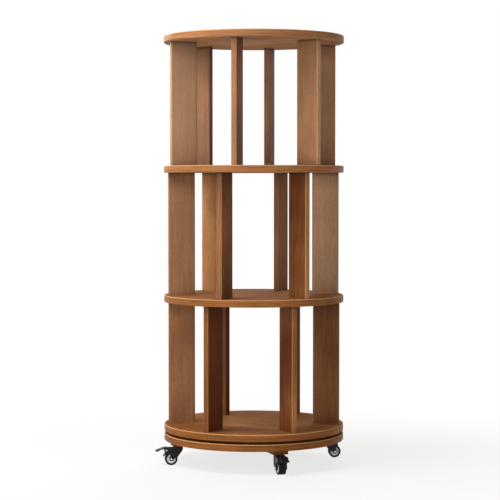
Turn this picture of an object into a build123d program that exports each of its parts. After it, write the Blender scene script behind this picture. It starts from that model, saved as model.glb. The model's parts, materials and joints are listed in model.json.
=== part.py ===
from build123d import *
import os

# A round revolving bookcase: a castored base carries a turntable bearing, and a tower of four
# boards and three tiers of radial slats turns on it.
# Lengths are in millimetres and angles in degrees. The origin is on the floor under the axis of
# the turntable, with +Z up. An angle is measured about +Z from +X.

# Boards
board_radius = 230
board_thickness = 18

# Slats, which stand on edge along the radii and part the books
slats_per_tier = 6
slat_width = 68
slat_thickness = 15
slat_arris_width = 2
slat_setback = 10
tier_opening = 312
housing_depth = 4
housing_clearance = 0.1
lower_tier_angle = -95.5
tier_stagger = 10

# Turntable bearing, in the gap between the base and the tower
bearing_plate_width = 150
bearing_corner_length = 12
bearing_plate_thickness = 1.5
cage_mean_radius = 60
cage_width = 12
cage_height = 3

# Castor blocks, glued under the base. A block reaches past the stem by its overhang. The stems
# stand in from the rim by the castor inset.
first_castor_angle = -45
castor_inset = 28
castor_height = 48
block_width = 40
block_length = 70
block_thickness = 10
block_overhang = 15

# Castor stems. Their threads, which go up into the blocks, are left out.
stem_radius = 4
stem_end_gap = 0.5
flange_thickness = 1.5
flange_across_flats = 13

# Castor wheels, which trail behind their stems
wheel_radius = 16
wheel_width = 18
hub_radius = 11.5
hub_recess = 1.5
axle_radius = 2
running_clearance = 0.05
trail = 18

# Castor forks. The crown is a raised cap round the stem, as wide as it is long.
swivel_gap = 0.2
stem_socket_depth = 9
crown_radius = 12.5
cap_height = 2.5
crown_height = 6.5
cheek_thickness = 4
cheek_front_reach = 3
cheek_front_height = 20.5
cheek_back_margin = 2.5
axle_boss_radius = 4.5
wheel_side_gap = 1
wheel_end_gap = 1.5
hood_bottom = 27
hood_length = 26.5
hood_bevel = 4

# Brake, on two of the castors. Reaches are counted from the stem's axis.
lug_length = 8
lug_bottom = 31
pedal_pivot_reach = 30.5
pedal_pivot_height = 38.5
pedal_rod_radius = 1.5
pedal_side_gap = 0.3
pedal_back_gap = 1.2
hump_height = 7
hump_length = 7.5
hump_bevel = 2
lever_thickness = 3
lever_root_reach = 37
lever_root_height = 41.5
lever_bend_reach = 45
lever_bend_height = 39.5
pad_thickness = 4.5
pad_reach = 52
pad_height = 35
lever_reach = 58
lever_tip_height = 35.5
finger_thickness = 2
finger_root_reach = 31.5
finger_root_height = 28.5
finger_reach = 39
finger_tip_height = 23.5
shoe_reach = 30

# Heights and places that follow from the sizes above
base_bottom = castor_height + block_thickness
base_top = base_bottom + board_thickness
tower_bottom = base_top + 2 * bearing_plate_thickness + cage_height
tier_height = board_thickness + tier_opening
slat_centre_radius = board_radius - slat_setback - slat_width / 2
castor_circle_radius = board_radius - castor_inset

os.makedirs("parts", exist_ok=True)


def save(piece, name):
    """Label a finished piece and write it under its own name."""
    piece.part.label = name
    export_step(piece.part, f"parts/{name}.step")


def tier_angle(tier):
    """The angle of the first slat of a tier, counted from the lowest tier."""
    return lower_tier_angle + tier * tier_stagger


def slat_places(tier):
    """The places of a tier's slats, each turned to lie along its radius."""
    return PolarLocations(slat_centre_radius, slats_per_tier, start_angle=tier_angle(tier))


# Boards. A shelf has housings for the slats below it and for those of the tier above.
boards = {
    "bottom_shelf": {"bottom": tower_bottom, "below": None, "above": 0},
    "middle_shelf": {"bottom": tower_bottom + tier_height, "below": 0, "above": 1},
    "upper_shelf": {"bottom": tower_bottom + 2 * tier_height, "below": 1, "above": 2},
    "top_plate": {"bottom": tower_bottom + 3 * tier_height, "below": 2, "above": None},
    "base_plate": {"bottom": base_bottom, "below": None, "above": None},
}
housing_width = slat_width + 2 * housing_clearance
housing_thickness = slat_thickness + 2 * housing_clearance

for name, board in boards.items():
    with BuildPart() as plate:
        with BuildSketch(Plane.XY.offset(board["bottom"])):
            Circle(board_radius)
        extrude(amount=board_thickness)
        if board["below"] is not None:
            with BuildSketch(Plane.XY.offset(board["bottom"])):
                with slat_places(board["below"]):
                    Rectangle(housing_width, housing_thickness)
            extrude(amount=housing_depth, mode=Mode.SUBTRACT)
        if board["above"] is not None:
            with BuildSketch(Plane.XY.offset(board["bottom"] + board_thickness)):
                with slat_places(board["above"]):
                    Rectangle(housing_width, housing_thickness)
            extrude(amount=-housing_depth, mode=Mode.SUBTRACT)
    save(plate, name)


# Slats. Each end sits on the floor of its housing.
for tier, tier_name in enumerate(("lower", "middle", "upper")):
    slat_bottom = tower_bottom + board_thickness + tier * tier_height - housing_depth
    for index, place in enumerate(slat_places(tier).locations):
        with BuildPart() as slat:
            with BuildSketch(Plane(place).offset(slat_bottom)):
                Rectangle(slat_width, slat_thickness)
            extrude(amount=tier_opening + 2 * housing_depth)
            chamfer(slat.edges().filter_by(Axis.Z), slat_arris_width)
        save(slat, f"{tier_name}_slat_{index + 1}")


# Turntable bearing: two pressed plates, and between them the closed ring that holds the balls.
bearing_plates = {
    "bearing_lower_plate": base_top,
    "bearing_upper_plate": tower_bottom - bearing_plate_thickness,
}
for name, bottom in bearing_plates.items():
    with BuildPart() as plate:
        with BuildSketch(Plane.XY.offset(bottom)) as outline:
            Rectangle(bearing_plate_width, bearing_plate_width)
            chamfer(outline.vertices(), bearing_corner_length)
        extrude(amount=bearing_plate_thickness)
    save(plate, name)

with BuildPart() as cage:
    with BuildSketch(Plane.XY.offset(base_top + bearing_plate_thickness)):
        Circle(cage_mean_radius + cage_width / 2)
        Circle(cage_mean_radius - cage_width / 2, mode=Mode.SUBTRACT)
    extrude(amount=cage_height)
save(cage, "bearing_ball_cage")


# Castors. A castor's plan plane lies across its stem, with x along the trail. Its side plane holds
# the stem's axis, with x along the trail and y up from the floor.
castors = [
    {"angle": first_castor_angle, "heading": -46, "braked": True},
    {"angle": first_castor_angle + 90, "heading": 30, "braked": False},
    {"angle": first_castor_angle + 180, "heading": 100, "braked": False},
    {"angle": first_castor_angle + 270, "heading": 214, "braked": True},
]


def plan_plane(castor, height):
    origin = Vector(castor_circle_radius, 0, height).rotate(Axis.Z, castor["angle"])
    heading = Vector(1, 0, 0).rotate(Axis.Z, castor["heading"])
    return Plane(origin=origin, x_dir=heading, z_dir=(0, 0, 1))


def side_plane(castor):
    plan = plan_plane(castor, 0)
    return Plane(origin=plan.origin, x_dir=plan.x_dir, z_dir=-plan.y_dir)


flange_bottom = castor_height - flange_thickness
crown_top = flange_bottom - swivel_gap
slot_width = wheel_width + 2 * wheel_side_gap
slot_top = 2 * wheel_radius + wheel_end_gap
slot_front = trail - wheel_radius - wheel_end_gap
fork_width = slot_width + 2 * cheek_thickness
hood_top = crown_top - cap_height
axle_boss_bottom = wheel_radius - axle_boss_radius
block_centre_radius = castor_circle_radius + block_overhang - block_length / 2
pedal_pivot = (pedal_pivot_reach, pedal_pivot_height)

for number, castor in enumerate(castors, start=1):
    with BuildPart() as block:
        with BuildSketch(Plane.XY.offset(castor_height)):
            with PolarLocations(block_centre_radius, 1, start_angle=castor["angle"]):
                Rectangle(block_length, block_width)
        extrude(amount=block_thickness)
    save(block, f"castor_block_{number}")

    # The fork: a crown round the stem's socket, a wider and lower hood over the wheel, and two
    # cheeks that taper to the axle, which is fast in them. A braked castor has two lugs and a rod
    # at the hood's end.
    hood_end = hood_length + (lug_length if castor["braked"] else 0)
    with BuildPart() as fork:
        with BuildSketch(side_plane(castor)) as side:
            with BuildLine():
                Polyline(
                    (-crown_radius, hood_top),
                    (hood_length, hood_top),
                    (hood_length, hood_bottom),
                    (trail + cheek_back_margin, hood_bottom),
                    (trail + axle_boss_radius, wheel_radius),
                    (trail + axle_boss_radius / 2, axle_boss_bottom),
                    (trail - axle_boss_radius / 2, axle_boss_bottom),
                    (trail - axle_boss_radius, wheel_radius),
                    (cheek_front_reach, cheek_front_height),
                    (-crown_radius, crown_top - crown_height),
                    close=True,
                )
            make_face()
            if castor["braked"]:
                with Locations((hood_length, lug_bottom)):
                    Rectangle(lug_length, hood_top - lug_bottom, align=Align.MIN)
            chamfer(side.vertices().group_by(Axis.X)[-1].sort_by(Axis.Y)[-1], hood_bevel)
        extrude(amount=fork_width / 2, both=True)
        with BuildSketch(plan_plane(castor, 0)):
            Circle(crown_radius)
            with Locations((slot_front, 0)):
                Rectangle(hood_end, fork_width, align=(Align.MIN, Align.CENTER))
            make_hull()
        extrude(amount=castor_height, mode=Mode.INTERSECT)
        with BuildSketch(plan_plane(castor, hood_top)):
            Circle(crown_radius)
            Rectangle(crown_radius, 2 * crown_radius, align=(Align.MIN, Align.CENTER))
        extrude(amount=cap_height)
        with BuildSketch(side_plane(castor)):
            with Locations((slot_front, 0)):
                Rectangle(hood_end - slot_front, slot_top, align=Align.MIN)
            if castor["braked"]:
                with Locations((hood_length, 0)):
                    Rectangle(lug_length, hood_top, align=Align.MIN)
        extrude(amount=slot_width / 2, both=True, mode=Mode.SUBTRACT)
        with BuildSketch(side_plane(castor)):
            with Locations((trail, wheel_radius)):
                Circle(axle_radius)
            if castor["braked"]:
                with Locations(pedal_pivot):
                    Circle(pedal_rod_radius)
        extrude(amount=slot_width / 2, both=True)
        with BuildSketch(plan_plane(castor, crown_top)):
            Circle(stem_radius + running_clearance)
        extrude(amount=-stem_socket_depth, mode=Mode.SUBTRACT)
    save(fork, f"castor_fork_{number}")

    with BuildPart() as tyre:
        with BuildSketch(side_plane(castor)):
            with Locations((trail, wheel_radius)):
                Circle(wheel_radius)
                Circle(hub_radius, mode=Mode.SUBTRACT)
        extrude(amount=wheel_width / 2, both=True)
    save(tyre, f"castor_tyre_{number}")

    with BuildPart() as hub:
        with BuildSketch(side_plane(castor)):
            with Locations((trail, wheel_radius)):
                Circle(hub_radius)
                Circle(axle_radius + running_clearance, mode=Mode.SUBTRACT)
        extrude(amount=wheel_width / 2 - hub_recess, both=True)
    save(hub, f"castor_hub_{number}")

    if castor["braked"]:
        # The pedal hangs on the rod between the lugs: a hump over the rod, a thin lever that ends
        # in a toe pad, and below it a short release finger and the shoe, which presses the tyre.
        pedal_back = hood_length + pedal_back_gap
        pedal_top = pedal_pivot_height + hump_height
        with BuildPart() as pedal:
            with BuildSketch(side_plane(castor)):
                with BuildLine():
                    Polyline(
                        (pedal_back, slot_top),
                        (pedal_back, pedal_top - hump_bevel),
                        (pedal_back + hump_bevel, pedal_top),
                        (pedal_back + hump_length, pedal_top),
                        (lever_bend_reach, lever_bend_height + lever_thickness),
                        (pad_reach, pad_height + pad_thickness),
                        (lever_reach, lever_tip_height + finger_thickness),
                        (lever_reach, lever_tip_height),
                        (pad_reach, pad_height),
                        (lever_bend_reach, lever_bend_height),
                        (lever_root_reach, lever_root_height),
                        (finger_root_reach + finger_thickness, finger_root_height + finger_thickness),
                        (finger_reach, finger_tip_height),
                        (finger_reach - finger_thickness / 2, finger_tip_height - finger_thickness / 2),
                        (finger_root_reach, finger_root_height),
                        (shoe_reach, finger_root_height),
                        close=True,
                    )
                make_face()
                with Locations(pedal_pivot):
                    Circle(pedal_rod_radius + running_clearance, mode=Mode.SUBTRACT)
            extrude(amount=slot_width / 2 - pedal_side_gap, both=True)
        save(pedal, f"brake_pedal_{number}")

stem_bottom = crown_top - stem_socket_depth + stem_end_gap
with BuildPart() as stems:
    for castor in castors:
        with BuildSketch(plan_plane(castor, stem_bottom)):
            Circle(stem_radius)
        extrude(amount=flange_bottom - stem_bottom)
        with BuildSketch(plan_plane(castor, flange_bottom)):
            RegularPolygon(flange_across_flats / 2, 6, major_radius=False)
        extrude(amount=flange_thickness)
save(stems, "castor_stems")
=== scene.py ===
import json
import math
import random

import bmesh
import bpy
from mathutils import Matrix, Vector


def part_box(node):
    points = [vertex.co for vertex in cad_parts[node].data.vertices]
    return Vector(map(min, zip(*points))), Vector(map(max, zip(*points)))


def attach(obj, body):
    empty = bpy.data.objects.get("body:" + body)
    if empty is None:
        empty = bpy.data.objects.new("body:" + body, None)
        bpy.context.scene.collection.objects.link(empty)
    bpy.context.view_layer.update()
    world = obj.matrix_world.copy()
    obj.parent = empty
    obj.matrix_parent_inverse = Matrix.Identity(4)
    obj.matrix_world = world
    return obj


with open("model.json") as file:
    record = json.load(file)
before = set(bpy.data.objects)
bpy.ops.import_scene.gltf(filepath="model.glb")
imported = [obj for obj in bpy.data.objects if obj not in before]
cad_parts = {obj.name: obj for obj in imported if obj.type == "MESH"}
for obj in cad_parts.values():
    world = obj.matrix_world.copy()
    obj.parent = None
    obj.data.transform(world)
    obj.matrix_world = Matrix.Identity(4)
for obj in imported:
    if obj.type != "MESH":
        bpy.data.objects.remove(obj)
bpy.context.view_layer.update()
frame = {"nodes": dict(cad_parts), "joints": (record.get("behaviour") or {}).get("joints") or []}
nodes = frame["nodes"]
joints = {joint["name"]: joint for joint in frame["joints"]}
mm = 0.001
print("frame loaded,", len(nodes), "nodes")


# A revolving bookcase: lacquered brown wood, a hidden steel bearing and black castors.
# In the settings lengths are millimetres and angles degrees, unless a note says otherwise.


# An sRGB hex colour in linear light
def linearColour(text):
    channels = [int(text[i:i + 2], 16) / 255 for i in (1, 3, 5)]
    return (*[c / 12.92 if c <= 0.04045 else ((c + 0.055) / 1.055) ** 2.4 for c in channels], 1.0)


# A value that is a socket gets linked, any other is set. stops are a ramp's positions and colours.
# A Mix takes its values by number: 2 and 3 are numbers, 4 and 5 vectors, 6 and 7 colours.
def addNode(tree, kind, inputs=None, out=0, stops=(), **settings):
    node = tree.nodes.new("ShaderNode" + kind)
    for name, value in settings.items():
        setattr(node, name, value)
    for key, value in (inputs or {}).items():
        if isinstance(value, bpy.types.NodeSocket):
            tree.links.new(value, node.inputs[key])
        else:
            node.inputs[key].default_value = value
    for place, (position, colour) in enumerate(stops):
        elements = node.color_ramp.elements
        stop = elements[place] if place < len(elements) else elements.new(position)
        stop.position = position
        stop.color = linearColour(colour)
    return node.outputs[out] if node.outputs else node


def startMaterial(name):
    material = bpy.data.materials.new(name)
    material.use_nodes = True
    material.node_tree.nodes.clear()
    return material, material.node_tree


# Camera, a little lower than the upper shelf and tipped down to take in the castors
camera = {
    "azimuth": 27.4,  # from -Y towards +X
    "distance": 4409,
    "height": 719,
    "pitch": 2.274,  # downwards
    "sideStep": -9.8,
    "lens": 123.73,
    "sensor": 36,
    "farthest": 60,  # metres
}

turn = math.radians(camera["azimuth"])
eyeData = bpy.data.cameras.new("studioCamera")
eyeData.lens = camera["lens"]
eyeData.sensor_width = camera["sensor"]
eyeData.clip_end = camera["farthest"]
eye = bpy.data.objects.new("studioCamera", eyeData)
bpy.context.scene.collection.objects.link(eye)
toCamera = Vector((math.sin(turn), -math.cos(turn), 0))
toRight = Vector((math.cos(turn), math.sin(turn), 0))
eye.location = (toCamera * camera["distance"] + toRight * camera["sideStep"]) * mm
eye.location.z = camera["height"] * mm
eye.rotation_euler = (math.radians(90 - camera["pitch"]), 0, turn)
bpy.context.scene.camera = eye
print("camera placed")


# Stained and lacquered ash, planed and sanded: warm brown with darker growth lines, fine pores
# drawn along the grain, and a semi-gloss film that softens both.
stainedAsh = {
    "dark": "#60310F",
    "middle": "#965E2C",
    "pale": "#BE8956",
    "shades": (0.18, 0.5, 0.84),  # where those three lie between 0 and 1
    "pore": "#3A1F0E",
    "arris": "#D2A06C",  # paler along the arrises: sanding thins the stain there, and the colour also paints the highlight they catch
    "arrisWearAndHighlightShare": 0.85,
    "downArrisWearAndHighlight": 0.0,  # arrises that face down get none of it, as the painted highlight is for arrises lit from above
    "flatTone": 0.12,  # a board's faces take less stain than the band round its rim
    "paintedSheen": "#D2CBBB",  # painted sheen: a pale colour mixed in where the lacquer reflects the light
    "ringSpacing": 6.5,  # real rings are 2 to 3 mm apart, drawn wider so that they show
    "ringWander": 3.2,
    "ringStrength": 0.16,
    "poreWidth": 1.6,  # real pores are 0.3 mm wide, drawn wider so that they show
    "poreLength": 16,
    "poreFrom": 0.52,  # the part of the noise that makes pores
    "poreTo": 0.72,
    "poreStrength": 0.45,
    "poreRoughness": 0.14,  # the film sinks into the pores, so they are duller
    "streakWidth": 3.0,
    "streakLength": 130,
    "streakContrast": 0.9,
    "blotchSize": 120,
    "blotchShare": 0.35,
    "roughness": 0.42,
    "mattRoughness": 0.8,
    "specular": 0.07,
    "reliefDepth": 0.12,
    "reliefStrength": 0.35,
}

# The slats' colours are paler than the boards', which paints the sheen on their faces, and the film on them
# is a little thicker and so glossier.
slatAsh = {
    **stainedAsh,
    "dark": "#5C2B0A",
    "middle": "#9C6636",
    "pale": "#BF9060",
    "arrisWearAndHighlightShare": 0.2,
    "ringStrength": 0.1,
    "poreWidth": 2.4,  # drawn wider than on the boards, because fewer cross the narrow faces
    "poreLength": 14,
    "poreStrength": 0.4,
    "streakContrast": 0.5,
    "roughness": 0.38,
    "mattRoughness": 0.62,
    "specular": 0.1,
    "logSpan": 3.0,  # metres of log that the slats come from
}

# How a piece lay in its log: the pith is up to aside to either side, between near and far behind
# the middle, and leans. A ring runs from pale early wood to a dark line of late wood.
ringPattern = {
    "aside": 26,
    "near": 30,
    "far": 60,
    "lean": 0.05,  # at most, as a share of the way along the grain
    "waves": (28, 28, 7),  # of the lines' wander, in a metre across, behind and along
    "ring": [(0.0, "#FFFFFF"), (0.55, "#C8C8C8"), (0.88, "#404040"), (0.97, "#606060"), (1.0, "#FFFFFF")],
}

noiseMiddle = 0.5
noiseSwing = 0.25  # how far a noise texture mostly goes to either side of its middle
clearFilm = 1.5  # index of refraction of lacquer and of plastics


# Growth lines round a pith that lies behind the face and leans, so that they close into arches.
# across, behind and along are in metres. chances are three random numbers that place the pith.
def growthLines(tree, across, behind, along, chances, look):
    aside = ringPattern["aside"] * mm
    near = ringPattern["near"] * mm
    far = ringPattern["far"] * mm
    most = ringPattern["lean"]
    spread = addNode(tree, "MapRange", {"Value": chances[0], "To Min": -aside, "To Max": aside})
    away = addNode(tree, "MapRange", {"Value": chances[1], "To Min": near, "To Max": far})
    lean = addNode(tree, "MapRange", {"Value": chances[2], "To Min": -most, "To Max": most})
    sway = addNode(tree, "Math", {0: along, 1: lean}, operation="MULTIPLY")
    sideways = addNode(tree, "Math", {0: across, 1: spread}, operation="SUBTRACT")
    inwards = addNode(tree, "Math", {0: behind, 1: away}, operation="ADD")
    inwards = addNode(tree, "Math", {0: inwards, 1: sway}, operation="ADD")
    place = addNode(tree, "CombineXYZ", {0: sideways, 1: inwards})
    where = addNode(tree, "CombineXYZ", {0: across, 1: behind, 2: along})
    slow = addNode(tree, "VectorMath", {0: where, 1: ringPattern["waves"]}, operation="MULTIPLY")
    wander = addNode(tree, "TexNoise", {"Vector": slow, "Scale": 1, "Detail": 2}, out="Color")
    wander = addNode(tree, "VectorMath", {0: wander, 1: (noiseMiddle,) * 3}, operation="SUBTRACT")
    wide = look["ringWander"] * mm / noiseSwing
    wander = addNode(tree, "VectorMath", {0: wander, "Scale": wide}, operation="SCALE")
    place = addNode(tree, "VectorMath", {0: place, 1: wander}, operation="ADD")
    place = addNode(tree, "VectorMath", {0: place, 1: (1, 1, 0)}, operation="MULTIPLY")  # across only
    radius = addNode(tree, "VectorMath", {0: place}, out="Value", operation="LENGTH")
    rings = addNode(tree, "Math", {0: radius, 1: look["ringSpacing"] * mm}, operation="DIVIDE")
    rings = addNode(tree, "Math", {0: rings}, operation="FRACT")
    return addNode(tree, "ValToRGB", {"Fac": rings}, stops=ringPattern["ring"])


# The scale of a pattern that is this wide across the grain and this long along it
def alongGrain(width, length):
    return (1 / (width * mm), 1 / (width * mm), 1 / (length * mm))


# grain runs along the vector's z, in metres. lines are the growth lines, or None where only streaks
# show. matt is 1 where the film is rubbed dull, arris is 1 on a rounded arris, paintedSheen is the
# share of painted sheen, and corner is the share of the colour kept under painted shade in a corner.
def finishWood(material, tree, grain, lines, look, tone=0.0, paintedSheen=0.0, matt=0.0, arris=0.0, corner=1.0):
    scale = alongGrain(look["streakWidth"], look["streakLength"])
    streaks = addNode(tree, "VectorMath", {0: grain, 1: scale}, operation="MULTIPLY")
    streaks = addNode(tree, "TexNoise", {"Vector": streaks, "Scale": 1, "Detail": 3, "Roughness": 0.55})
    least = noiseMiddle - look["streakContrast"] / 2
    most = noiseMiddle + look["streakContrast"] / 2
    streaks = addNode(tree, "MapRange", {"Value": streaks, "To Min": least, "To Max": most})
    scale = 1 / (look["blotchSize"] * mm)
    blotches = addNode(tree, "TexNoise", {"Vector": grain, "Scale": scale, "Detail": 1})
    scale = alongGrain(look["poreWidth"], look["poreLength"])
    pores = addNode(tree, "VectorMath", {0: grain, 1: scale}, operation="MULTIPLY")
    pores = addNode(tree, "TexNoise", {"Vector": pores, "Scale": 1, "Detail": 2, "Roughness": 0.6})
    pores = addNode(tree, "MapRange", {"Value": pores, "From Min": look["poreFrom"],
                                       "From Max": look["poreTo"]})
    shade = addNode(tree, "Mix", {0: look["blotchShare"], 2: streaks, 3: blotches}, data_type="FLOAT")
    shade = addNode(tree, "Math", {0: shade, 1: tone}, operation="ADD")
    stops = zip(look["shades"], (look["dark"], look["middle"], look["pale"]))
    colour = addNode(tree, "ValToRGB", {"Fac": shade}, stops=stops)
    if lines:
        colour = addNode(tree, "Mix", {0: look["ringStrength"], 6: colour, 7: lines}, out=2,
                         data_type="RGBA", blend_type="MULTIPLY")
    share = addNode(tree, "Math", {0: pores, 1: look["poreStrength"]}, operation="MULTIPLY")
    colour = addNode(tree, "Mix", {0: share, 6: colour, 7: linearColour(look["pore"])}, out=2,
                     data_type="RGBA")
    # Paler arrises: the stain sanded thin, and a painted highlight on them.
    share = addNode(tree, "Math", {0: arris, 1: look["arrisWearAndHighlightShare"]}, operation="MULTIPLY")
    colour = addNode(tree, "Mix", {0: share, 6: colour, 7: linearColour(look["arris"])}, out=2,
                     data_type="RGBA")
    # Painted sheen: the colour is mixed towards a pale grey.
    colour = addNode(tree, "Mix", {0: paintedSheen, 6: colour, 7: linearColour(look["paintedSheen"])}, out=2,
                     data_type="RGBA")
    # Painted shade in corners darkens the colour here.
    colour = addNode(tree, "VectorMath", {0: colour, "Scale": corner}, operation="SCALE")
    roughness = addNode(tree, "MapRange", {"Value": pores, "To Min": look["roughness"],
                                           "To Max": look["roughness"] + look["poreRoughness"]})
    roughness = addNode(tree, "Mix", {0: matt, 2: roughness, 3: look["mattRoughness"]},
                        data_type="FLOAT")
    relief = addNode(tree, "Bump", {"Height": pores, "Strength": look["reliefStrength"],
                                    "Distance": look["reliefDepth"] * mm}, invert=True)
    shader = addNode(tree, "BsdfPrincipled", {"Base Color": colour, "Roughness": roughness,
                                              "Normal": relief, "IOR": clearFilm,
                                              "Specular IOR Level": look["specular"]})
    addNode(tree, "OutputMaterial", {"Surface": shader})
    return material


# The tone and the painted sheen that a piece carries for its faces and for its edges. faceShare is 1 on a
# face.
def faceOrEdge(tree, faceShare):
    face = addNode(tree, "Attribute", out="Vector", attribute_type="OBJECT", attribute_name="faceToneAndSheen")
    edge = addNode(tree, "Attribute", out="Vector", attribute_type="OBJECT", attribute_name="edgeToneAndSheen")
    here = addNode(tree, "Mix", {0: faceShare, 4: edge, 5: face}, out=1, data_type="VECTOR")
    return addNode(tree, "SeparateXYZ", {0: here}).node.outputs[:2]


# Between which sizes of one part of the normal an arris begins and ends
arrisMark = {"riseFrom": 0.25, "riseTo": 0.5, "fallFrom": 0.86, "fallTo": 0.98}


# 1 on a rounded arris and 0 on the faces beside it. facing is the size of one part of the normal.
def roundedPart(tree, facing):
    rising = addNode(tree, "MapRange", {"Value": facing, "From Min": arrisMark["riseFrom"],
                                        "From Max": arrisMark["riseTo"]})
    falling = addNode(tree, "MapRange", {"Value": facing, "From Min": arrisMark["fallFrom"],
                                         "From Max": arrisMark["fallTo"], "To Min": 1.0, "To Max": 0.0})
    return addNode(tree, "Math", {0: rising, 1: falling}, operation="MULTIPLY")


# Where the slats stand: how far their middle is from the axis, the height of the bottom shelf's
# face, the opening above each shelf, and the rise from one shelf to the next
slatPlace = {"radius": 186, "shelfFace": 100, "opening": 312, "rise": 330}

# Painted shade at the slats' tops, under the shelf above: a dark line in the corner within a longer, softer
# shade
paintedCornerShade = {"lineReach": 8, "lineLevel": 0.42, "shadeReach": 45, "shadeLevel": 0.62}

# How squarely a face looks sideways where a slat's broad face begins, and where it is full
broadFace = {"from": 0.7, "to": 0.95}


# A slat's grain runs up it. Each slat has its own heading, place in the log and tone. Its broad
# faces, which books rub against, are duller than its edges.
def slatWood(look, stand, paintedShade):
    material, tree = startMaterial("stainedAshSlat")
    place = addNode(tree, "TexCoord", out="Object")
    heading = addNode(tree, "Attribute", out="Fac", attribute_type="OBJECT", attribute_name="grainHeading")
    inLog = addNode(tree, "Attribute", out="Vector", attribute_type="OBJECT", attribute_name="grainLog")
    local = addNode(tree, "VectorRotate", {"Vector": place, "Angle": heading}, rotation_type="Z_AXIS")
    middle = (stand["radius"] * mm, 0, 0)
    local = addNode(tree, "VectorMath", {0: local, 1: middle}, operation="SUBTRACT")
    across, behind, along = addNode(tree, "SeparateXYZ", {0: local}).node.outputs
    chances = addNode(tree, "SeparateXYZ", {0: inLog}).node.outputs
    lines = growthLines(tree, across, behind, along, chances, look)
    shift = addNode(tree, "VectorMath", {0: inLog, "Scale": look["logSpan"]}, operation="SCALE")
    grain = addNode(tree, "VectorMath", {0: local, 1: shift}, operation="ADD")
    normal = addNode(tree, "TexCoord", out="Normal")
    normal = addNode(tree, "VectorRotate", {"Vector": normal, "Angle": heading}, rotation_type="Z_AXIS")
    facing = addNode(tree, "SeparateXYZ", {0: normal}, out="Y")
    facing = addNode(tree, "Math", {0: facing}, operation="ABSOLUTE")
    arris = roundedPart(tree, facing)
    broad = addNode(tree, "MapRange", {"Value": facing, "From Min": broadFace["from"],
                                       "From Max": broadFace["to"]})
    tone, paintedSheen = faceOrEdge(tree, broad)
    # Painted shade: each slat grows darker towards the shelf above it, as the shelf shades its top.
    up = addNode(tree, "Math", {0: along, 1: stand["shelfFace"] * mm}, operation="SUBTRACT")
    up = addNode(tree, "Math", {0: up, 1: stand["rise"] * mm, 2: 0.0}, operation="WRAP")
    below = addNode(tree, "Math", {0: stand["opening"] * mm, 1: up}, operation="SUBTRACT")
    cornerShadeLine = addNode(tree, "MapRange", {"Value": below, "From Max": paintedShade["lineReach"] * mm,
                                      "To Min": paintedShade["lineLevel"]})
    shade = addNode(tree, "MapRange", {"Value": below, "From Max": paintedShade["shadeReach"] * mm,
                                       "To Min": paintedShade["shadeLevel"]})
    corner = addNode(tree, "Math", {0: cornerShadeLine, 1: shade}, operation="MULTIPLY")
    return finishWood(material, tree, grain, lines, look, tone, paintedSheen, broad, arris, corner)


# The castor blocks are offcuts, in a darker brown than the boards. Their grain runs along them.
blockAsh = {
    **stainedAsh,
    "dark": "#44210F",
    "middle": "#68371C",
    "pale": "#824A28",
    "arrisWearAndHighlightShare": 0.0,
}


def blockWood(look):
    material, tree = startMaterial("stainedAshBlock")
    place = addNode(tree, "TexCoord", out="Object")
    heading = addNode(tree, "Attribute", out="Fac", attribute_type="OBJECT", attribute_name="grainHeading")
    local = addNode(tree, "VectorRotate", {"Vector": place, "Angle": heading}, rotation_type="Z_AXIS")
    along, across, height = addNode(tree, "SeparateXYZ", {0: local}).node.outputs
    grain = addNode(tree, "CombineXYZ", {0: across, 1: height, 2: along})
    return finishWood(material, tree, grain, None, look)


# A board's faces are staves glued edge to edge along X. A band of the same wood wraps its rim,
# with the grain running round it.
staves = {
    "width": 92,
    "toneSpread": 0.1,
    "depth": 500,  # the staves come from far outside the pith, so their lines run nearly straight
    "logSpan": 2.0,  # metres of log that the staves come from
    "flatFrom": 0.6,  # a normal that rises or falls more than this belongs to a face
    "wearAndHighlightFrom": -0.1,  # an arris turns paler, worn and with a painted highlight, from where its normal falls this much
    "wearAndHighlightTo": 0.1,  # and is fully pale where it rises this much
}


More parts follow.
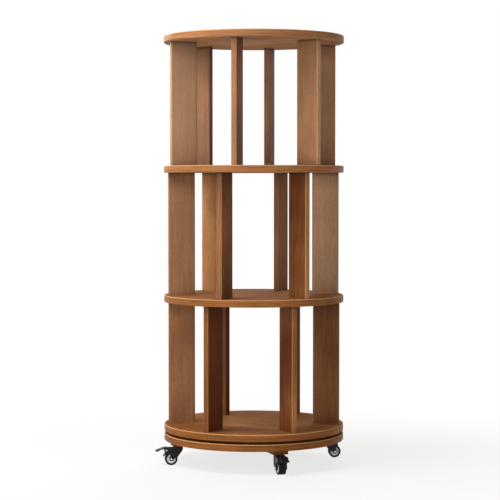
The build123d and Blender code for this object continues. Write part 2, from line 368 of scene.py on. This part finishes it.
def boardWood(look, staveLook):
    material, tree = startMaterial("stainedAshBoard")
    place = addNode(tree, "TexCoord", out="Object")
    shift = addNode(tree, "Attribute", out="Vector", attribute_type="OBJECT", attribute_name="grainLog")
    x, y, z = addNode(tree, "SeparateXYZ", {0: place}).node.outputs
    staveNumber = addNode(tree, "Math", {0: y, 1: staveLook["width"] * mm}, operation="DIVIDE")
    inStave = addNode(tree, "Math", {0: staveNumber}, operation="FRACT")
    half = staveLook["width"] / 2 * mm
    inStave = addNode(tree, "MapRange", {"Value": inStave, "To Min": -half, "To Max": half})
    staveNumber = addNode(tree, "Math", {0: staveNumber}, operation="FLOOR")
    boardNumber = addNode(tree, "SeparateXYZ", {0: shift})
    seed = addNode(tree, "CombineXYZ", {0: staveNumber, 1: boardNumber})
    stave = addNode(tree, "TexWhiteNoise", {"Vector": seed}, out="Color", noise_dimensions="3D")
    chances = addNode(tree, "SeparateXYZ", {0: stave}).node.outputs
    lines = growthLines(tree, inStave, staveLook["depth"] * mm, x, chances, look)
    faceGrain = addNode(tree, "CombineXYZ", {0: y, 1: z, 2: x})
    apart = addNode(tree, "VectorMath", {0: stave, "Scale": staveLook["logSpan"]}, operation="SCALE")
    faceGrain = addNode(tree, "VectorMath", {0: faceGrain, 1: apart}, operation="ADD")
    normal = addNode(tree, "NewGeometry", out="Normal")
    upwards = addNode(tree, "SeparateXYZ", {0: normal}, out="Z")
    facing = addNode(tree, "Math", {0: upwards}, operation="ABSOLUTE")
    arris = roundedPart(tree, facing)
    # Only upward arrises get the pale colour in full: a painted highlight from light above, with the wear.
    wornAndLit = addNode(tree, "MapRange", {"Value": upwards, "From Min": staveLook["wearAndHighlightFrom"],
                                      "From Max": staveLook["wearAndHighlightTo"], "To Min": look["downArrisWearAndHighlight"]})
    arris = addNode(tree, "Math", {0: arris, 1: wornAndLit}, operation="MULTIPLY")
    flat = addNode(tree, "Math", {0: facing, 1: staveLook["flatFrom"]}, operation="GREATER_THAN")
    # Round the rim the grain follows X and Y alike, so X is drawn out as far as Y is.
    drawnOut = look["streakWidth"] / look["streakLength"]
    rimAcross = addNode(tree, "Math", {0: x, 1: drawnOut}, operation="MULTIPLY")
    rimGrain = addNode(tree, "CombineXYZ", {0: z, 1: rimAcross, 2: y})
    rimGrain = addNode(tree, "VectorMath", {0: rimGrain, 1: shift}, operation="ADD")
    grain = addNode(tree, "Mix", {0: flat, 4: rimGrain, 5: faceGrain}, out=1, data_type="VECTOR")
    lines = addNode(tree, "Mix", {0: flat, 6: linearColour("#FFFFFF"), 7: lines}, out=2,
                    data_type="RGBA")
    toneSpread = staveLook["toneSpread"]
    staveTone = addNode(tree, "MapRange", {"Value": chances[1], "To Min": -toneSpread,
                                           "To Max": toneSpread})
    staveTone = addNode(tree, "Math", {0: staveTone, 1: flat}, operation="MULTIPLY")
    tone, paintedSheen = faceOrEdge(tree, flat)
    tone = addNode(tree, "Math", {0: tone, 1: staveTone}, operation="ADD")
    return finishWood(material, tree, grain, lines, look, tone, paintedSheen, flat, arris)


slatMaterial = slatWood(slatAsh, slatPlace, paintedCornerShade)
blockMaterial = blockWood(blockAsh)
boardMaterial = boardWood(stainedAsh, staves)
print("wood mixed")


# What every moulding has: a slow drift in colour and gloss, and a texture of the same sharpness
moulding = {
    "driftSize": 12,
    "driftGain": 1.5,
    "driftLift": 0.004,  # in linear light
    "roughnessDrift": 0.06,
    "reliefStrength": 0.5,
}

# Nylon, injection moulded: near black, with a faint spark-eroded texture and a satin sheen.
mouldedNylon = {
    **moulding,
    "colour": "#080808",
    "grit": 0.8,
    "roughness": 0.4,
    "specular": 0.18,
    "reliefDepth": 0.03,
}

# Thermoplastic rubber, moulded: black and matt, with a fine grit that holds a little dust.
mouldedRubber = {
    **moulding,
    "colour": "#0B0B0B",
    "grit": 0.6,
    "roughness": 0.72,
    "specular": 0.15,
    "reliefDepth": 0.05,
}

# Polypropylene, injection moulded: pale grey and slightly waxy.
mouldedPolypropylene = {
    **moulding,
    "colour": "#BFC0C1",
    "grit": 1.0,
    "roughness": 0.38,
    "specular": 0.4,
    "reliefDepth": 0.02,
}


def mouldedPlastic(name, look):
    material, tree = startMaterial(name)
    place = addNode(tree, "TexCoord", out="Object")
    grit = addNode(tree, "TexNoise", {"Vector": place, "Scale": 1 / (look["grit"] * mm), "Detail": 2})
    drift = addNode(tree, "TexNoise", {"Vector": place, "Scale": 1 / (look["driftSize"] * mm), "Detail": 2})
    base = linearColour(look["colour"])
    lifted = (*[min(1.0, c * look["driftGain"] + look["driftLift"]) for c in base[:3]], 1.0)
    colour = addNode(tree, "Mix", {0: drift, 6: base, 7: lifted}, out=2, data_type="RGBA")
    roughness = addNode(tree, "MapRange", {"Value": drift,
                                           "To Min": look["roughness"] - look["roughnessDrift"],
                                           "To Max": look["roughness"] + look["roughnessDrift"]})
    relief = addNode(tree, "Bump", {"Height": grit, "Strength": look["reliefStrength"],
                                    "Distance": look["reliefDepth"] * mm})
    shader = addNode(tree, "BsdfPrincipled", {"Base Color": colour, "Roughness": roughness,
                                              "Normal": relief, "IOR": clearFilm,
                                              "Specular IOR Level": look["specular"]})
    addNode(tree, "OutputMaterial", {"Surface": shader})
    return material


# Steel sheet, pressed and zinc plated: bright grey with a faint spangle.
zincPlate = {
    "pale": "#C9CACC",
    "dark": "#9A9C9F",
    "spangle": 4,
    "roughness": 0.34,
    "roughnessDrift": 0.08,
}

# Steel, turned and blackened in an oxide bath: dark grey with a soft oily sheen.
blackOxide = {
    **zincPlate,
    "pale": "#3A3B3D",
    "dark": "#26272A",
    "spangle": 2.5,
    "roughness": 0.42,
}

# Steel, turned and plated with nickel: bright and faintly mottled, and it mirrors the room softly.
nickelPlate = {
    **zincPlate,
    "pale": "#D9D8D4",
    "dark": "#B4B3AF",
    "spangle": 1.2,
    "roughness": 0.26,
}


def platedSteel(name, look):
    material, tree = startMaterial(name)
    place = addNode(tree, "TexCoord", out="Object")
    scale = 1 / (look["spangle"] * mm)
    spangle = addNode(tree, "TexVoronoi", {"Vector": place, "Scale": scale}, out="Color")
    share = addNode(tree, "SeparateXYZ", {0: spangle})
    dark, pale = linearColour(look["dark"]), linearColour(look["pale"])
    colour = addNode(tree, "Mix", {0: share, 6: dark, 7: pale}, out=2, data_type="RGBA")
    roughness = addNode(tree, "MapRange", {"Value": share,
                                           "To Min": look["roughness"] - look["roughnessDrift"],
                                           "To Max": look["roughness"] + look["roughnessDrift"]})
    shader = addNode(tree, "BsdfPrincipled", {"Base Color": colour, "Metallic": 1.0,
                                              "Roughness": roughness})
    addNode(tree, "OutputMaterial", {"Surface": shader})
    return material


nylon = mouldedPlastic("mouldedNylon", mouldedNylon)
rubber = mouldedPlastic("mouldedRubber", mouldedRubber)
polypropylene = mouldedPlastic("mouldedPolypropylene", mouldedPolypropylene)
plate = platedSteel("zincPlatedSteel", zincPlate)
blackSteel = platedSteel("blackOxideSteel", blackOxide)
brightSteel = platedSteel("nickelPlatedSteel", nickelPlate)
print("plastic and steel mixed")


def dress(piece, material):
    piece.data.materials.clear()
    piece.data.materials.append(material)


# How meshes are joined and eased
easing = {
    "weld": 0.001,
    "flatAngle": 0.4,  # triangles that lean less than this belong to one face
    "edgeAngle": 32,  # edges that turn more than this are rounded
    "normalWeight": 80,  # keeps large faces flat beside a rounded arris
}


# Rounds a piece's arrises. The flat step joins the triangles of each face first.
def easeArrises(piece, width, segments, rimOnly=False):
    weld = piece.modifiers.new("weld", "WELD")
    weld.merge_threshold = easing["weld"] * mm
    flat = piece.modifiers.new("flat", "DECIMATE")
    flat.decimate_type = "DISSOLVE"
    flat.angle_limit = math.radians(easing["flatAngle"])
    bevel = piece.modifiers.new("arris", "BEVEL")
    bevel.width = width * mm
    bevel.segments = segments
    bevel.limit_method = "WEIGHT" if rimOnly else "ANGLE"
    bevel.angle_limit = math.radians(easing["edgeAngle"])
    bevel.use_clamp_overlap = True
    normals = piece.modifiers.new("normals", "WEIGHTED_NORMAL")
    normals.weight = easing["normalWeight"]


# Gives each edge of a mesh its share of the bevel's width, from the places of its two ends.
def weighEdges(piece, shareOf):
    weights = piece.data.attributes.new("bevel_weight_edge", "FLOAT", "EDGE")
    for edge in piece.data.edges:
        ends = [piece.data.vertices[i].co for i in edge.vertices]
        weights.data[edge.index].value = shareOf(*ends)


sameRadius = 0.1  # two points this near to a radius lie on one rim
sameLevel = 0.01  # and this near to a level they lie on one circle

# tone lightens or darkens the colour, and the lower boards are darker as painted shade; rimPaintedSheen and
# facePaintedSheen are the shares of painted sheen on the rim and the faces.
boards = {
    "base_plate": {"tone": -0.165, "rimPaintedSheen": 0.0, "facePaintedSheen": 0.0},
    "bottom_shelf": {"tone": -0.12, "rimPaintedSheen": 0.0, "facePaintedSheen": 0.0},
    "middle_shelf": {"tone": -0.11, "rimPaintedSheen": 0.01, "facePaintedSheen": 0.02},
    "upper_shelf": {"tone": 0.02, "rimPaintedSheen": 0.03, "facePaintedSheen": 0.03},
    "top_plate": {"tone": 0.03, "rimPaintedSheen": 0.05, "facePaintedSheen": 0.1},
}
boardEdges = {"arris": 2.8, "segments": 4}
boardLog = 9  # metres of log that the boards come from
seeds = random.Random(7)


# A board is rounded along its two rims only, not at the housings.
def rimShare(board):
    outer = max(v.co.xy.length for v in board.data.vertices)

    def shareOf(a, b):
        onRim = min(a.xy.length, b.xy.length) > outer - sameRadius * mm
        return float(onRim and abs(a.z - b.z) < sameLevel * mm)

    return shareOf


for name, look in boards.items():
    board = nodes[name]
    dress(board, boardMaterial)
    board["grainLog"] = [seeds.uniform(0, boardLog), seeds.uniform(0, boardLog), seeds.uniform(0, boardLog)]
    board["faceToneAndSheen"] = [look["tone"] + stainedAsh["flatTone"], look["facePaintedSheen"], 0.0]
    board["edgeToneAndSheen"] = [look["tone"], look["rimPaintedSheen"], 0.0]
    weighEdges(board, rimShare(board))
    easeArrises(board, boardEdges["arris"], boardEdges["segments"], rimOnly=True)

# Each slat's tone and painted sheen, and how much paler or darker its edges are than its faces. These
# paint light and shade as well as the wood's own tone: the lower tier is the darkest, as painted
# shade, and lit and shaded slats and edges are made paler and darker.
slats = {
    "lower": {
        "tones": [-0.31, -0.26, -0.17, -0.2, -0.22, -0.11],
        "paintedSheens": [0.0, 0.0, 0.03, 0.0, 0.0, 0.05],
        "edgeLifts": [0.13, 0.21, 0.11, -0.1, -0.14, 0.1],
        "edgePaintedSheen": 0.0,
    },
    "middle": {
        "tones": [-0.19, -0.22, 0.1, -0.11, 0.1, -0.11],
        "paintedSheens": [0.0, 0.0, 0.15, 0.02, 0.0, 0.08],
        "edgeLifts": [0.03, 0.34, 0.0, -0.09, -0.1, 0.07],
        "edgePaintedSheen": 0.03,
    },
    "upper": {
        "tones": [-0.17, -0.03, -0.1, -0.18, -0.14, -0.03],
        "paintedSheens": [0.0, 0.09, 0.11, 0.06, 0.1, 0.16],
        "edgeLifts": [0.14, 0.69, 0.18, 0.0, -0.1, 0.08],
        "edgePaintedSheen": 0.09,
    },
}
slatEdges = {"arris": 2.2, "segments": 3}

for tier, look in slats.items():
    for number, tone in enumerate(look["tones"], 1):
        slat = nodes[f"{tier}_slat_{number}"]
        low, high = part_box(slat.name)
        middle = (low + high) / 2
        dress(slat, slatMaterial)
        slat["grainHeading"] = -math.atan2(middle.y, middle.x)
        slat["grainLog"] = [seeds.random(), seeds.random(), seeds.random()]
        slat["faceToneAndSheen"] = [tone, look["paintedSheens"][number - 1], 0.0]
        slat["edgeToneAndSheen"] = [tone + look["edgeLifts"][number - 1], look["edgePaintedSheen"], 0.0]
        easeArrises(slat, slatEdges["arris"], slatEdges["segments"])
print("boards and slats dressed")


# In how many steps a round piece goes round, and the angle from which its edges stay sharp
spinning = {"steps": 40, "sharpAngle": 40}


# A round piece, turned or moulded. outline is a closed loop of radii and heights in millimetres,
# spun about axis, with height 0 at place. It may start and end on the axis.
def spunPiece(name, outline, place, axis, material, body, steps=spinning["steps"]):
    mesh = bpy.data.meshes.new(name)
    shape = bmesh.new()
    points = [shape.verts.new((radius * mm, 0, height * mm)) for radius, height in outline]
    ends = points + ([] if outline[0][0] == 0 else points[:1])
    edges = [shape.edges.new(pair) for pair in zip(ends, ends[1:])]
    bmesh.ops.spin(shape, geom=points + edges, cent=(0, 0, 0), axis=(0, 0, 1), angle=2 * math.pi,
                   steps=steps, use_merge=True)
    bmesh.ops.remove_doubles(shape, verts=shape.verts, dist=easing["weld"] * mm)
    bmesh.ops.recalc_face_normals(shape, faces=shape.faces)
    shape.to_mesh(mesh)
    shape.free()
    mesh.shade_smooth()
    mesh.set_sharp_from_angle(angle=math.radians(spinning["sharpAngle"]))
    piece = bpy.data.objects.new(name, mesh)
    bpy.context.scene.collection.objects.link(piece)
    lean = Vector((0, 0, 1)).rotation_difference(axis)
    piece.matrix_world = Matrix.Translation(place) @ lean.to_matrix().to_4x4()
    dress(piece, material)
    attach(piece, body)


# The outline of a bar with round ends. Each end has one point half way round, at 45 degrees.
def capsule(radius, length):
    half = length / 2
    out, back = 0.7 * radius, 0.3 * radius
    return [(0, -half), (out, -half + back), (radius, -half + radius),
            (radius, half - radius), (out, half - back), (0, half)]


castorNumbers = [1, 2, 3, 4]
brakedCastors = [1, 4]

# Widths of the rounded arrises and their segments
castorEdges = {"block": (1.2, 2), "moulding": (0.8, 3), "tread": (2.6, 5)}
tyreLip = 0.5  # the tyre's lip round the hub is rounded less than its tread

# The hub's moulded side: a boss round the axle, a sunk web and a raised rim inside the tyre
hubSide = [(2.3, -0.3), (2.3, 0.6), (2.6, 0.8), (4.0, 0.8), (4.4, 0.6), (4.8, 0.15), (8.6, 0.12), (9.2, 0.5),
           (9.6, 0.9), (10.6, 1.0), (11.1, 0.8), (11.35, 0.3), (11.35, -0.3)]

# The boss moulded on each cheek round the axle, and the axle's peened end in it
axleBoss = [(0, -3.9), (4.7, -3.9), (5.0, -3.6), (5.0, 0.2), (4.5, 0.9), (3.2, 1.0), (2.9, 0.6), (0, 0.6)]
axleEnd = [(0, 0.4), (2.5, 0.4), (2.5, 1.1), (2.2, 1.7), (1.4, 2.2), (0, 2.4)]

# A rib moulded on the outside of each cheek, under the hood
cheekRib = {
    "outline": capsule(radius=0.9, length=13),
    "steps": 16,
    "behindAxle": 1.5,
    "aboveAxle": 19.4,
}

# The pivot rod's end, flat and chamfered
rodEnd = {
    "outline": [(0, -0.3), (2.2, -0.3), (2.2, 0.4), (1.8, 0.8), (0, 0.8)],
    "steps": 24,
}

# A grip rib, half sunk in the toe pad and rounded at both ends
gripRib = {
    "outline": capsule(radius=0.55, length=17),
    "steps": 12,
    "reaches": [17.5, 19.5, 21.5, 23.5, 25.5],  # from the pedal's pivot
    "firstRise": 0.1,  # the first rib's height above the pivot
    "fall": 0.72,  # from rib to rib
}


def dressCastor(number):
    block, fork, tyre, hub = [nodes[f"castor_{part}_{number}"] for part in ("block", "fork", "tyre", "hub")]
    centre = Vector(joints[f"castor_roll_{number}"]["pos_m"])
    axis = Vector(joints[f"castor_roll_{number}"]["axis"])
    heading = Vector((axis.y, -axis.x, 0))
    sides = (("left", axis), ("right", -axis))
    castorBody = f"castor_{number}"

    def alongAxle(point):
        return (point - centre).dot(axis)

    def offAxle(point):
        return (point - centre - axis * alongAxle(point)).length

    def treadShare(a, b):
        if abs(alongAxle(a) - alongAxle(b)) > sameLevel * mm:
            return 0.0
        return 1.0 if offAxle(a) > tyreRadius - sameRadius * mm else tyreLip / castorEdges["tread"][0]

    dress(block, blockMaterial)
    low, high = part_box(block.name)
    block["grainHeading"] = -math.atan2(low.y + high.y, low.x + high.x)
    easeArrises(block, *castorEdges["block"])
    dress(fork, nylon)
    easeArrises(fork, *castorEdges["moulding"])
    dress(tyre, rubber)
    tyreRadius = max(offAxle(v.co) for v in tyre.data.vertices)
    weighEdges(tyre, treadShare)
    easeArrises(tyre, *castorEdges["tread"], rimOnly=True)
    dress(hub, polypropylene)

    hubHalf = max(alongAxle(v.co) for v in hub.data.vertices)
    forkHalf = max(alongAxle(v.co) for v in fork.data.vertices)
    for side, outwards in sides:
        spunPiece(f"hubSide_{number}_{side}", hubSide, centre + outwards * hubHalf, outwards,
                  polypropylene, f"wheel_{number}")
        cheek = centre + outwards * forkHalf
        spunPiece(f"axleBoss_{number}_{side}", axleBoss, cheek, outwards, nylon, castorBody)
        spunPiece(f"axleEnd_{number}_{side}", axleEnd, cheek, outwards, brightSteel, castorBody)
        place = cheek + heading * cheekRib["behindAxle"] * mm
        place.z = centre.z + cheekRib["aboveAxle"] * mm
        spunPiece(f"cheekRib_{number}_{side}", cheekRib["outline"], place, heading, nylon, castorBody,
                  cheekRib["steps"])
    if number not in brakedCastors:
        return

    pedal = nodes[f"brake_pedal_{number}"]
    pivot = Vector(joints[f"brake_pedal_press_{number}"]["pos_m"])
    dress(pedal, nylon)
    easeArrises(pedal, *castorEdges["moulding"])
    for side, outwards in sides:
        spunPiece(f"rodEnd_{number}_{side}", rodEnd["outline"], pivot + outwards * forkHalf, outwards, plate,
                  castorBody, rodEnd["steps"])
    for rib, reach in enumerate(gripRib["reaches"]):
        place = pivot + heading * reach * mm
        place.z += (gripRib["firstRise"] - rib * gripRib["fall"]) * mm
        spunPiece(f"gripRib_{number}_{rib + 1}", gripRib["outline"], place, axis, nylon, f"pedal_{number}",
                  gripRib["steps"])


for number in castorNumbers:
    dressCastor(number)
dress(nodes["castor_stems"], blackSteel)
print("castors dressed")


# The bearing's plates are held to the boards by a pan-head screw at each corner.
panHead = {
    "outline": [(0, -0.3), (3.5, -0.3), (3.5, 0.3), (3.1, 0.9), (2.2, 1.15), (0, 1.2)],
    "steps": 24,
    "inset": 13,  # from the plate's edges
}

inset = panHead["inset"] * mm
for plateName, body, upwards in (("bearing_lower_plate", "base", 1), ("bearing_upper_plate", "tower", -1)):
    low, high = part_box(plateName)
    dress(nodes[plateName], plate)
    for x in (low.x + inset, high.x - inset):
        for y in (low.y + inset, high.y - inset):
            corner = ("back" if y > 0 else "front") + ("Right" if x > 0 else "Left")
            place = Vector((x, y, high.z if upwards > 0 else low.z))
            spunPiece(f"{corner}Screw_{body}", panHead["outline"], place, Vector((0, 0, upwards)), plate,
                      body, panHead["steps"])
dress(nodes["bearing_ball_cage"], plate)
print("bearing dressed")


# Stage: a pale floor that fades to white away from the object, and soft lamps
stage = {
    "floorSize": 30,  # metres
    "floorDrop": 0.02,  # keeps the floor's face clear of the tyres' feet
    "floorColour": "#F0EEEA",
    "shadowShare": 0.24,
    "fadeStart": 0.35,  # metres from the axis
    "fadeEnd": 1.15,  # metres
    "white": "#FFFFFF",
    "worldLevel": 0.1,
    "aimHeight": 550,  # where the lamps point
}


# 1 for rays that show the stage itself: from the camera, off a glossy face or through a clear one
def shownRays(tree):
    rays = addNode(tree, "LightPath").node.outputs
    shown = addNode(tree, "Math", {0: rays["Is Camera Ray"], 1: rays["Is Glossy Ray"]}, operation="MAXIMUM")
    return addNode(tree, "Math", {0: shown, 1: rays["Is Transmission Ray"]}, operation="MAXIMUM")


def stageFloor(look):
    material, tree = startMaterial("paperFloor")
    place = addNode(tree, "TexCoord", out="Object")
    away = addNode(tree, "VectorMath", {0: place}, out="Value", operation="LENGTH")
    fade = addNode(tree, "MapRange", {"Value": away, "From Min": look["fadeStart"],
                                      "From Max": look["fadeEnd"], "To Min": 1 - look["shadowShare"]},
                   interpolation_type="SMOOTHSTEP")
    shown = addNode(tree, "Math", {0: shownRays(tree), 1: fade}, operation="MULTIPLY")
    paper = addNode(tree, "BsdfDiffuse", {"Color": linearColour(look["floorColour"])})
    white = addNode(tree, "Emission", {"Color": linearColour(look["white"]), "Strength": 1.0})
    shader = addNode(tree, "MixShader", {0: shown, 1: paper, 2: white})
    addNode(tree, "OutputMaterial", {"Surface": shader})
    return material


floorMesh = bpy.data.meshes.new("floor")
reach = stage["floorSize"] / 2
floorCorners = [(-reach, -reach, 0), (reach, -reach, 0), (reach, reach, 0), (-reach, reach, 0)]
floorMesh.from_pydata(floorCorners, [], [(0, 1, 2, 3)])
floor = bpy.data.objects.new("floor", floorMesh)
bpy.context.scene.collection.objects.link(floor)
floor.location.z = -stage["floorDrop"] * mm
dress(floor, stageFloor(stage))

world = bpy.data.worlds.new("studio")
world.use_nodes = True
world.node_tree.nodes.clear()
bpy.context.scene.world = world
sky = world.node_tree
white = linearColour(stage["white"])
ambient = addNode(sky, "Background", {"Color": white, "Strength": stage["worldLevel"]})
backdrop = addNode(sky, "Background", {"Color": white, "Strength": 1.0})
mixed = addNode(sky, "MixShader", {0: shownRays(sky), 1: ambient, 2: backdrop})
addNode(sky, "OutputWorld", {"Surface": mixed})

# azimuth counts from the camera towards its right, and distance and size are metres
lamps = [
    {"name": "keyLamp", "azimuth": -58, "rise": 50, "distance": 2.0, "size": 1.2, "power": 35},
    {"name": "sideLamp", "azimuth": -85, "rise": 20, "distance": 3.0, "size": 1.6, "power": 14},
    {"name": "lowLamp", "azimuth": -35, "rise": -5, "distance": 3.2, "size": 0.9, "power": 44},
    {"name": "fillLamp", "azimuth": 25, "rise": 6, "distance": 3.2, "size": 1.6, "power": 22},
    {"name": "rearLamp", "azimuth": 165, "rise": 40, "distance": 3.2, "size": 1.8, "power": 40},
    {"name": "edgeLamp", "azimuth": -138, "rise": 22, "distance": 3.2, "size": 1.0, "power": 26},
]
aim = Vector((0, 0, stage["aimHeight"] * mm))
for lamp in lamps:
    data = bpy.data.lights.new(lamp["name"], "AREA")
    data.size = lamp["size"]
    data.energy = lamp["power"]
    light = bpy.data.objects.new(lamp["name"], data)
    bpy.context.scene.collection.objects.link(light)
    heading = turn - math.pi / 2 + math.radians(lamp["azimuth"])
    rise = math.radians(lamp["rise"])
    offset = Vector((math.cos(heading) * math.cos(rise), math.sin(heading) * math.cos(rise), math.sin(rise)))
    light.location = aim + offset * lamp["distance"]
    light.rotation_euler = (-offset).to_track_quat("-Z", "Y").to_euler()

bpy.context.scene.view_settings.view_transform = "Standard"
print("stage lit")
